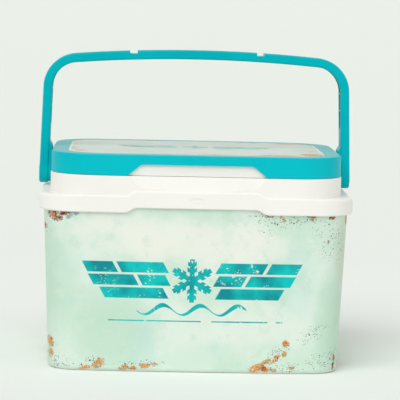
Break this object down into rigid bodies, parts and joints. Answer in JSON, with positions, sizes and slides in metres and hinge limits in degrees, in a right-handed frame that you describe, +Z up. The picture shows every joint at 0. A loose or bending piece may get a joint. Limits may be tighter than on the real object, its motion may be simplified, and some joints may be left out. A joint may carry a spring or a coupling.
{
  "type": "insulated cool box",
  "caption": "Small hand-carried cool box: tapered insulated tub in a worn printed wrap, white collar, lift-off lid with finger notches and a swinging bail handle.",
  "frame": {"origin": "centre of the base, in the plane of the ring the box stands on", "axes": "+Z up, +X along the long side to the right seen from the front, -Y towards the front"},
  "size_m": [0.3104, 0.222, 0.307],
  "materials": {
    "white_plastic": "satin moulded, off-white",
    "printed_wrap": "satin film printed as chipped, rust-spotted mint paint",
    "foam": "expanded bead foam, hidden",
    "teal_lid_plastic": "semi-gloss moulded teal",
    "printed_panel": "satin film with a white margin, printed as worn mint paint",
    "teal_handle_plastic": "glossy moulded teal"
  },
  "bodies": {
    "tub": {"outer_shell": "white_plastic", "label_wrap": "printed_wrap", "tub_insulation": "foam", "collar": "white_plastic", "tub_liner": "white_plastic"},
    "lid": {"lid_cover": "teal_lid_plastic", "lid_label": "printed_panel", "lid_insulation": "foam", "lid_liner": "white_plastic"},
    "bail": {"handle": "teal_handle_plastic", "pivot_pin_left": "teal_handle_plastic", "pivot_pin_right": "teal_handle_plastic"}
  },
  "joints": [
    {"name": "lid_lift", "type": "slide", "parent": "tub", "child": "lid", "axis": [0, 0, 1], "range_m": [0, 0.045]},
    {"name": "handle_swing", "type": "hinge", "parent": "tub", "child": "bail", "pos_m": [0, 0, 0.184], "axis": [1, 0, 0], "range_deg": [-90, 90]}
  ]
}
